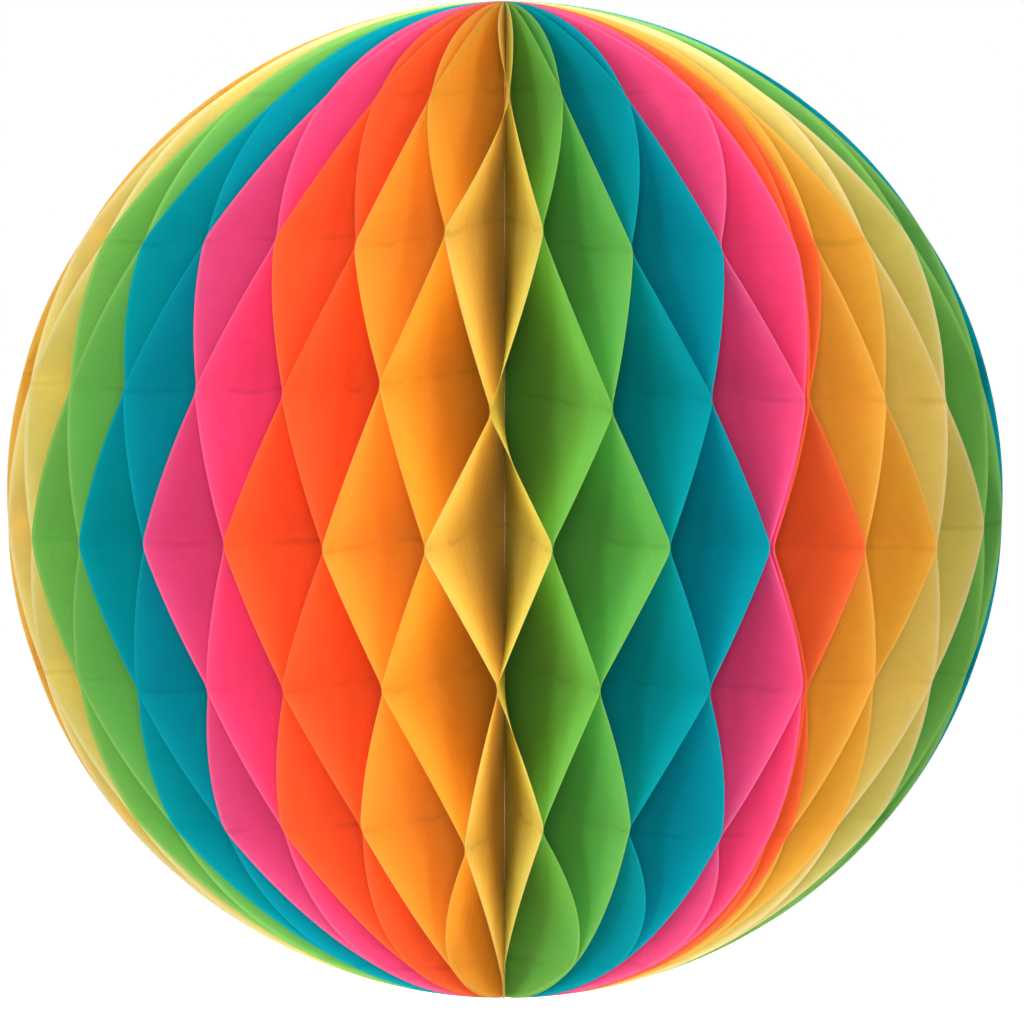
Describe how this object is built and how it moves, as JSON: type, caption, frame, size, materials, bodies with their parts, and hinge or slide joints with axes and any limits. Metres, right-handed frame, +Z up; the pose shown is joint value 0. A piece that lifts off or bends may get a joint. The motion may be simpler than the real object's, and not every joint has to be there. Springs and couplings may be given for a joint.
{
  "type": "paper honeycomb ball",
  "caption": "Tissue-paper honeycomb ball: coloured half-disc sheets, glued edge to edge, fan open round a spine thread between stiff cover boards.",
  "frame": {"origin": "the ball's centre, on the spine axis", "axes": "+Z up along the spine thread, +Y to the seam at the back where the two cover boards meet, -Y to the front"},
  "size_m": [0.305, 0.305, 0.3048],
  "materials": {
    "tissue_orange": "matte",
    "tissue_yellow": "matte",
    "tissue_green": "matte",
    "tissue_teal": "matte",
    "tissue_pink": "matte",
    "tissue_red": "matte",
    "chipboard": "matte",
    "adhesive_tape": "satin",
    "cotton_thread": "matte"
  },
  "bodies": {
    "fixed_cover": {"cover_board_fixed": "chipboard", "seam_tape": "adhesive_tape", "spine_thread": "cotton_thread"},
    "moving_cover": {"cover_board_moving": "chipboard"},
    "sheet_01": {"sheet_01_orange": "tissue_orange"},
    "sheet_02": {"sheet_02_orange": "tissue_orange"},
    "sheet_03": {"sheet_03_yellow": "tissue_yellow"},
    "sheet_04": {"sheet_04_yellow": "tissue_yellow"},
    "sheet_05": {"sheet_05_green": "tissue_green"},
    "sheet_06": {"sheet_06_green": "tissue_green"},
    "sheet_07": {"sheet_07_teal": "tissue_teal"},
    "sheet_08": {"sheet_08_teal": "tissue_teal"},
    "sheet_09": {"sheet_09_pink": "tissue_pink"},
    "sheet_10": {"sheet_10_pink": "tissue_pink"},
    "sheet_11": {"sheet_11_red": "tissue_red"},
    "sheet_12": {"sheet_12_red": "tissue_red"},
    "sheet_13": {"sheet_13_orange": "tissue_orange"},
    "sheet_14": {"sheet_14_orange": "tissue_orange"},
    "sheet_15": {"sheet_15_yellow": "tissue_yellow"},
    "sheet_16": {"sheet_16_yellow": "tissue_yellow"},
    "sheet_17": {"sheet_17_green": "tissue_green"},
    "sheet_18": {"sheet_18_green": "tissue_green"},
    "sheet_19": {"sheet_19_teal": "tissue_teal"},
    "sheet_20": {"sheet_20_teal": "tissue_teal"},
    "sheet_21": {"sheet_21_pink": "tissue_pink"},
    "sheet_22": {"sheet_22_pink": "tissue_pink"},
    "sheet_23": {"sheet_23_red": "tissue_red"},
    "sheet_24": {"sheet_24_red": "tissue_red"},
    "sheet_25": {"sheet_25_orange": "tissue_orange"},
    "sheet_26": {"sheet_26_orange": "tissue_orange"},
    "sheet_27": {"sheet_27_yellow": "tissue_yellow"},
    "sheet_28": {"sheet_28_yellow": "tissue_yellow"},
    "sheet_29": {"sheet_29_green": "tissue_green"},
    "sheet_30": {"sheet_30_green": "tissue_green"},
    "sheet_31": {"sheet_31_teal": "tissue_teal"},
    "sheet_32": {"sheet_32_teal": "tissue_teal"},
    "sheet_33": {"sheet_33_pink": "tissue_pink"},
    "sheet_34": {"sheet_34_red": "tissue_red"},
    "sheet_35": {"sheet_35_orange": "tissue_orange"},
    "sheet_36": {"sheet_36_orange": "tissue_orange"},
    "sheet_37": {"sheet_37_yellow": "tissue_yellow"},
    "sheet_38": {"sheet_38_yellow": "tissue_yellow"},
    "sheet_39": {"sheet_39_green": "tissue_green"},
    "sheet_40": {"sheet_40_green": "tissue_green"},
    "sheet_41": {"sheet_41_teal": "tissue_teal"},
    "sheet_42": {"sheet_42_teal": "tissue_teal"},
    "sheet_43": {"sheet_43_pink": "tissue_pink"},
    "sheet_44": {"sheet_44_pink": "tissue_pink"},
    "sheet_45": {"sheet_45_red": "tissue_red"},
    "sheet_46": {"sheet_46_red": "tissue_red"},
    "sheet_47": {"sheet_47_orange": "tissue_orange"},
    "sheet_48": {"sheet_48_orange": "tissue_orange"},
    "sheet_49": {"sheet_49_yellow": "tissue_yellow"},
    "sheet_50": {"sheet_50_yellow": "tissue_yellow"},
    "sheet_51": {"sheet_51_green": "tissue_green"},
    "sheet_52": {"sheet_52_green": "tissue_green"},
    "sheet_53": {"sheet_53_teal": "tissue_teal"},
    "sheet_54": {"sheet_54_teal": "tissue_teal"},
    "sheet_55": {"sheet_55_pink": "tissue_pink"},
    "sheet_56": {"sheet_56_pink": "tissue_pink"}
  },
  "joints": [
    {"name": "fan_fold", "type": "hinge", "parent": "fixed_cover", "child": "moving_cover", "pos_m": [0, 0, 0], "axis": [0, 0, 1], "range_deg": [-354, 0]},
    {"name": "sheet_01_fold", "type": "hinge", "parent": "fixed_cover", "child": "sheet_01", "pos_m": [0, 0, 0], "axis": [0, 0, 1], "range_deg": [-2.67, 0], "deforming": ["sheet_01_orange"]},
    {"name": "sheet_02_fold", "type": "hinge", "parent": "fixed_cover", "child": "sheet_02", "pos_m": [0, 0, 0], "axis": [0, 0, 1], "range_deg": [-9.01, 0], "deforming": ["sheet_02_orange"]},
    {"name": "sheet_03_fold", "type": "hinge", "parent": "fixed_cover", "child": "sheet_03", "pos_m": [0, 0, 0], "axis": [0, 0, 1], "range_deg": [-15.35, 0], "deforming": ["sheet_03_yellow"]},
    {"name": "sheet_04_fold", "type": "hinge", "parent": "fixed_cover", "child": "sheet_04", "pos_m": [0, 0, 0], "axis": [0, 0, 1], "range_deg": [-21.69, 0], "deforming": ["sheet_04_yellow"]},
    {"name": "sheet_05_fold", "type": "hinge", "parent": "fixed_cover", "child": "sheet_05", "pos_m": [0, 0, 0], "axis": [0, 0, 1], "range_deg": [-28.03, 0], "deforming": ["sheet_05_green"]},
    {"name": "sheet_06_fold", "type": "hinge", "parent": "fixed_cover", "child": "sheet_06", "pos_m": [0, 0, 0], "axis": [0, 0, 1], "range_deg": [-34.37, 0], "deforming": ["sheet_06_green"]},
    {"name": "sheet_07_fold", "type": "hinge", "parent": "fixed_cover", "child": "sheet_07", "pos_m": [0, 0, 0], "axis": [0, 0, 1], "range_deg": [-40.71, 0], "deforming": ["sheet_07_teal"]},
    {"name": "sheet_08_fold", "type": "hinge", "parent": "fixed_cover", "child": "sheet_08", "pos_m": [0, 0, 0], "axis": [0, 0, 1], "range_deg": [-47.04, 0], "deforming": ["sheet_08_teal"]},
    {"name": "sheet_09_fold", "type": "hinge", "parent": "fixed_cover", "child": "sheet_09", "pos_m": [0, 0, 0], "axis": [0, 0, 1], "range_deg": [-53.38, 0], "deforming": ["sheet_09_pink"]},
    {"name": "sheet_10_fold", "type": "hinge", "parent": "fixed_cover", "child": "sheet_10", "pos_m": [0, 0, 0], "axis": [0, 0, 1], "range_deg": [-59.72, 0], "deforming": ["sheet_10_pink"]},
    {"name": "sheet_11_fold", "type": "hinge", "parent": "fixed_cover", "child": "sheet_11", "pos_m": [0, 0, 0], "axis": [0, 0, 1], "range_deg": [-66.06, 0], "deforming": ["sheet_11_red"]},
    {"name": "sheet_12_fold", "type": "hinge", "parent": "fixed_cover", "child": "sheet_12", "pos_m": [0, 0, 0], "axis": [0, 0, 1], "range_deg": [-72.4, 0], "deforming": ["sheet_12_red"]},
    {"name": "sheet_13_fold", "type": "hinge", "parent": "fixed_cover", "child": "sheet_13", "pos_m": [0, 0, 0], "axis": [0, 0, 1], "range_deg": [-78.74, 0], "deforming": ["sheet_13_orange"]},
    {"name": "sheet_14_fold", "type": "hinge", "parent": "fixed_cover", "child": "sheet_14", "pos_m": [0, 0, 0], "axis": [0, 0, 1], "range_deg": [-85.08, 0], "deforming": ["sheet_14_orange"]},
    {"name": "sheet_15_fold", "type": "hinge", "parent": "fixed_cover", "child": "sheet_15", "pos_m": [0, 0, 0], "axis": [0, 0, 1], "range_deg": [-91.42, 0], "deforming": ["sheet_15_yellow"]},
    {"name": "sheet_16_fold", "type": "hinge", "parent": "fixed_cover", "child": "sheet_16", "pos_m": [0, 0, 0], "axis": [0, 0, 1], "range_deg": [-97.76, 0], "deforming": ["sheet_16_yellow"]},
    {"name": "sheet_17_fold", "type": "hinge", "parent": "fixed_cover", "child": "sheet_17", "pos_m": [0, 0, 0], "axis": [0, 0, 1], "range_deg": [-104.1, 0], "deforming": ["sheet_17_green"]},
    {"name": "sheet_18_fold", "type": "hinge", "parent": "fixed_cover", "child": "sheet_18", "pos_m": [0, 0, 0], "axis": [0, 0, 1], "range_deg": [-110.44, 0], "deforming": ["sheet_18_green"]},
    {"name": "sheet_19_fold", "type": "hinge", "parent": "fixed_cover", "child": "sheet_19", "pos_m": [0, 0, 0], "axis": [0, 0, 1], "range_deg": [-116.78, 0], "deforming": ["sheet_19_teal"]},
    {"name": "sheet_20_fold", "type": "hinge", "parent": "fixed_cover", "child": "sheet_20", "pos_m": [0, 0, 0], "axis": [0, 0, 1], "range_deg": [-123.12, 0], "deforming": ["sheet_20_teal"]},
    {"name": "sheet_21_fold", "type": "hinge", "parent": "fixed_cover", "child": "sheet_21", "pos_m": [0, 0, 0], "axis": [0, 0, 1], "range_deg": [-129.46, 0], "deforming": ["sheet_21_pink"]},
    {"name": "sheet_22_fold", "type": "hinge", "parent": "fixed_cover", "child": "sheet_22", "pos_m": [0, 0, 0], "axis": [0, 0, 1], "range_deg": [-135.79, 0], "deforming": ["sheet_22_pink"]},
    {"name": "sheet_23_fold", "type": "hinge", "parent": "fixed_cover", "child": "sheet_23", "pos_m": [0, 0, 0], "axis": [0, 0, 1], "range_deg": [-142.13, 0], "deforming": ["sheet_23_red"]},
    {"name": "sheet_24_fold", "type": "hinge", "parent": "fixed_cover", "child": "sheet_24", "pos_m": [0, 0, 0], "axis": [0, 0, 1], "range_deg": [-148.47, 0], "deforming": ["sheet_24_red"]},
    {"name": "sheet_25_fold", "type": "hinge", "parent": "fixed_cover", "child": "sheet_25", "pos_m": [0, 0, 0], "axis": [0, 0, 1], "range_deg": [-154.81, 0], "deforming": ["sheet_25_orange"]},
    {"name": "sheet_26_fold", "type": "hinge", "parent": "fixed_cover", "child": "sheet_26", "pos_m": [0, 0, 0], "axis": [0, 0, 1], "range_deg": [-161.15, 0], "deforming": ["sheet_26_orange"]},
    {"name": "sheet_27_fold", "type": "hinge", "parent": "fixed_cover", "child": "sheet_27", "pos_m": [0, 0, 0], "axis": [0, 0, 1], "range_deg": [-167.49, 0], "deforming": ["sheet_27_yellow"]},
    {"name": "sheet_28_fold", "type": "hinge", "parent": "fixed_cover", "child": "sheet_28", "pos_m": [0, 0, 0], "axis": [0, 0, 1], "range_deg": [-173.83, 0], "deforming": ["sheet_28_yellow"]},
    {"name": "sheet_29_fold", "type": "hinge", "parent": "fixed_cover", "child": "sheet_29", "pos_m": [0, 0, 0], "axis": [0, 0, 1], "range_deg": [-180.17, 0], "deforming": ["sheet_29_green"]},
    {"name": "sheet_30_fold", "type": "hinge", "parent": "fixed_cover", "child": "sheet_30", "pos_m": [0, 0, 0], "axis": [0, 0, 1], "range_deg": [-186.51, 0], "deforming": ["sheet_30_green"]},
    {"name": "sheet_31_fold", "type": "hinge", "parent": "fixed_cover", "child": "sheet_31", "pos_m": [0, 0, 0], "axis": [0, 0, 1], "range_deg": [-192.85, 0], "deforming": ["sheet_31_teal"]},
    {"name": "sheet_32_fold", "type": "hinge", "parent": "fixed_cover", "child": "sheet_32", "pos_m": [0, 0, 0], "axis": [0, 0, 1], "range_deg": [-199.19, 0], "deforming": ["sheet_32_teal"]},
    {"name": "sheet_33_fold", "type": "hinge", "parent": "fixed_cover", "child": "sheet_33", "pos_m": [0, 0, 0], "axis": [0, 0, 1], "range_deg": [-205.53, 0], "deforming": ["sheet_33_pink"]},
    {"name": "sheet_34_fold", "type": "hinge", "parent": "fixed_cover", "child": "sheet_34", "pos_m": [0, 0, 0], "axis": [0, 0, 1], "range_deg": [-211.87, 0], "deforming": ["sheet_34_red"]},
    {"name": "sheet_35_fold", "type": "hinge", "parent": "fixed_cover", "child": "sheet_35", "pos_m": [0, 0, 0], "axis": [0, 0, 1], "range_deg": [-218.21, 0], "deforming": ["sheet_35_orange"]},
    {"name": "sheet_36_fold", "type": "hinge", "parent": "fixed_cover", "child": "sheet_36", "pos_m": [0, 0, 0], "axis": [0, 0, 1], "range_deg": [-224.54, 0], "deforming": ["sheet_36_orange"]},
    {"name": "sheet_37_fold", "type": "hinge", "parent": "fixed_cover", "child": "sheet_37", "pos_m": [0, 0, 0], "axis": [0, 0, 1], "range_deg": [-230.88, 0], "deforming": ["sheet_37_yellow"]},
    {"name": "sheet_38_fold", "type": "hinge", "parent": "fixed_cover", "child": "sheet_38", "pos_m": [0, 0, 0], "axis": [0, 0, 1], "range_deg": [-237.22, 0], "deforming": ["sheet_38_yellow"]},
    {"name": "sheet_39_fold", "type": "hinge", "parent": "fixed_cover", "child": "sheet_39", "pos_m": [0, 0, 0], "axis": [0, 0, 1], "range_deg": [-243.56, 0], "deforming": ["sheet_39_green"]},
    {"name": "sheet_40_fold", "type": "hinge", "parent": "fixed_cover", "child": "sheet_40", "pos_m": [0, 0, 0], "axis": [0, 0, 1], "range_deg": [-249.9, 0], "deforming": ["sheet_40_green"]},
    {"name": "sheet_41_fold", "type": "hinge", "parent": "fixed_cover", "child": "sheet_41", "pos_m": [0, 0, 0], "axis": [0, 0, 1], "range_deg": [-256.24, 0], "deforming": ["sheet_41_teal"]},
    {"name": "sheet_42_fold", "type": "hinge", "parent": "fixed_cover", "child": "sheet_42", "pos_m": [0, 0, 0], "axis": [0, 0, 1], "range_deg": [-262.58, 0], "deforming": ["sheet_42_teal"]},
    {"name": "sheet_43_fold", "type": "hinge", "parent": "fixed_cover", "child": "sheet_43", "pos_m": [0, 0, 0], "axis": [0, 0, 1], "range_deg": [-268.92, 0], "deforming": ["sheet_43_pink"]},
    {"name": "sheet_44_fold", "type": "hinge", "parent": "fixed_cover", "child": "sheet_44", "pos_m": [0, 0, 0], "axis": [0, 0, 1], "range_deg": [-275.26, 0], "deforming": ["sheet_44_pink"]},
    {"name": "sheet_45_fold", "type": "hinge", "parent": "fixed_cover", "child": "sheet_45", "pos_m": [0, 0, 0], "axis": [0, 0, 1], "range_deg": [-281.6, 0], "deforming": ["sheet_45_red"]},
    {"name": "sheet_46_fold", "type": "hinge", "parent": "fixed_cover", "child": "sheet_46", "pos_m": [0, 0, 0], "axis": [0, 0, 1], "range_deg": [-287.94, 0], "deforming": ["sheet_46_red"]},
    {"name": "sheet_47_fold", "type": "hinge", "parent": "fixed_cover", "child": "sheet_47", "pos_m": [0, 0, 0], "axis": [0, 0, 1], "range_deg": [-294.28, 0], "deforming": ["sheet_47_orange"]},
    {"name": "sheet_48_fold", "type": "hinge", "parent": "fixed_cover", "child": "sheet_48", "pos_m": [0, 0, 0], "axis": [0, 0, 1], "range_deg": [-300.62, 0], "deforming": ["sheet_48_orange"]},
    {"name": "sheet_49_fold", "type": "hinge", "parent": "fixed_cover", "child": "sheet_49", "pos_m": [0, 0, 0], "axis": [0, 0, 1], "range_deg": [-306.96, 0], "deforming": ["sheet_49_yellow"]},
    {"name": "sheet_50_fold", "type": "hinge", "parent": "fixed_cover", "child": "sheet_50", "pos_m": [0, 0, 0], "axis": [0, 0, 1], "range_deg": [-313.29, 0], "deforming": ["sheet_50_yellow"]},
    {"name": "sheet_51_fold", "type": "hinge", "parent": "fixed_cover", "child": "sheet_51", "pos_m": [0, 0, 0], "axis": [0, 0, 1], "range_deg": [-319.63, 0], "deforming": ["sheet_51_green"]},
    {"name": "sheet_52_fold", "type": "hinge", "parent": "fixed_cover", "child": "sheet_52", "pos_m": [0, 0, 0], "axis": [0, 0, 1], "range_deg": [-325.97, 0], "deforming": ["sheet_52_green"]},
    {"name": "sheet_53_fold", "type": "hinge", "parent": "fixed_cover", "child": "sheet_53", "pos_m": [0, 0, 0], "axis": [0, 0, 1], "range_deg": [-332.31, 0], "deforming": ["sheet_53_teal"]},
    {"name": "sheet_54_fold", "type": "hinge", "parent": "fixed_cover", "child": "sheet_54", "pos_m": [0, 0, 0], "axis": [0, 0, 1], "range_deg": [-338.65, 0], "deforming": ["sheet_54_teal"]},
    {"name": "sheet_55_fold", "type": "hinge", "parent": "fixed_cover", "child": "sheet_55", "pos_m": [0, 0, 0], "axis": [0, 0, 1], "range_deg": [-344.99, 0], "deforming": ["sheet_55_pink"]},
    {"name": "sheet_56_fold", "type": "hinge", "parent": "fixed_cover", "child": "sheet_56", "pos_m": [0, 0, 0], "axis": [0, 0, 1], "range_deg": [-351.33, 0], "deforming": ["sheet_56_pink"]}
  ],
  "couplings": [
    {"joint": "sheet_01_fold", "follows": "fan_fold", "ratio": 0.007541},
    {"joint": "sheet_02_fold", "follows": "fan_fold", "ratio": 0.025449},
    {"joint": "sheet_03_fold", "follows": "fan_fold", "ratio": 0.043357},
    {"joint": "sheet_04_fold", "follows": "fan_fold", "ratio": 0.061264},
    {"joint": "sheet_05_fold", "follows": "fan_fold", "ratio": 0.079172},
    {"joint": "sheet_06_fold", "follows": "fan_fold", "ratio": 0.097079},
    {"joint": "sheet_07_fold", "follows": "fan_fold", "ratio": 0.11499},
    {"joint": "sheet_08_fold", "follows": "fan_fold", "ratio": 0.13289},
    {"joint": "sheet_09_fold", "follows": "fan_fold", "ratio": 0.1508},
    {"joint": "sheet_10_fold", "follows": "fan_fold", "ratio": 0.16871},
    {"joint": "sheet_11_fold", "follows": "fan_fold", "ratio": 0.18662},
    {"joint": "sheet_12_fold", "follows": "fan_fold", "ratio": 0.20453},
    {"joint": "sheet_13_fold", "follows": "fan_fold", "ratio": 0.22243},
    {"joint": "sheet_14_fold", "follows": "fan_fold", "ratio": 0.24034},
    {"joint": "sheet_15_fold", "follows": "fan_fold", "ratio": 0.25825},
    {"joint": "sheet_16_fold", "follows": "fan_fold", "ratio": 0.27615},
    {"joint": "sheet_17_fold", "follows": "fan_fold", "ratio": 0.29406},
    {"joint": "sheet_18_fold", "follows": "fan_fold", "ratio": 0.31197},
    {"joint": "sheet_19_fold", "follows": "fan_fold", "ratio": 0.32988},
    {"joint": "sheet_20_fold", "follows": "fan_fold", "ratio": 0.34779},
    {"joint": "sheet_21_fold", "follows": "fan_fold", "ratio": 0.36569},
    {"joint": "sheet_22_fold", "follows": "fan_fold", "ratio": 0.3836},
    {"joint": "sheet_23_fold", "follows": "fan_fold", "ratio": 0.40151},
    {"joint": "sheet_24_fold", "follows": "fan_fold", "ratio": 0.41942},
    {"joint": "sheet_25_fold", "follows": "fan_fold", "ratio": 0.43732},
    {"joint": "sheet_26_fold", "follows": "fan_fold", "ratio": 0.45523},
    {"joint": "sheet_27_fold", "follows": "fan_fold", "ratio": 0.47314},
    {"joint": "sheet_28_fold", "follows": "fan_fold", "ratio": 0.49105},
    {"joint": "sheet_29_fold", "follows": "fan_fold", "ratio": 0.50895},
    {"joint": "sheet_30_fold", "follows": "fan_fold", "ratio": 0.52686},
    {"joint": "sheet_31_fold", "follows": "fan_fold", "ratio": 0.54477},
    {"joint": "sheet_32_fold", "follows": "fan_fold", "ratio": 0.56268},
    {"joint": "sheet_33_fold", "follows": "fan_fold", "ratio": 0.58058},
    {"joint": "sheet_34_fold", "follows": "fan_fold", "ratio": 0.59849},
    {"joint": "sheet_35_fold", "follows": "fan_fold", "ratio": 0.6164},
    {"joint": "sheet_36_fold", "follows": "fan_fold", "ratio": 0.63431},
    {"joint": "sheet_37_fold", "follows": "fan_fold", "ratio": 0.65221},
    {"joint": "sheet_38_fold", "follows": "fan_fold", "ratio": 0.67012},
    {"joint": "sheet_39_fold", "follows": "fan_fold", "ratio": 0.68803},
    {"joint": "sheet_40_fold", "follows": "fan_fold", "ratio": 0.70594},
    {"joint": "sheet_41_fold", "follows": "fan_fold", "ratio": 0.72384},
    {"joint": "sheet_42_fold", "follows": "fan_fold", "ratio": 0.74175},
    {"joint": "sheet_43_fold", "follows": "fan_fold", "ratio": 0.75966},
    {"joint": "sheet_44_fold", "follows": "fan_fold", "ratio": 0.77757},
    {"joint": "sheet_45_fold", "follows": "fan_fold", "ratio": 0.79548},
    {"joint": "sheet_46_fold", "follows": "fan_fold", "ratio": 0.81338},
    {"joint": "sheet_47_fold", "follows": "fan_fold", "ratio": 0.83129},
    {"joint": "sheet_48_fold", "follows": "fan_fold", "ratio": 0.8492},
    {"joint": "sheet_49_fold", "follows": "fan_fold", "ratio": 0.86711},
    {"joint": "sheet_50_fold", "follows": "fan_fold", "ratio": 0.88501},
    {"joint": "sheet_51_fold", "follows": "fan_fold", "ratio": 0.90292},
    {"joint": "sheet_52_fold", "follows": "fan_fold", "ratio": 0.92083},
    {"joint": "sheet_53_fold", "follows": "fan_fold", "ratio": 0.93874},
    {"joint": "sheet_54_fold", "follows": "fan_fold", "ratio": 0.95664},
    {"joint": "sheet_55_fold", "follows": "fan_fold", "ratio": 0.97455},
    {"joint": "sheet_56_fold", "follows": "fan_fold", "ratio": 0.99246}
  ]
}
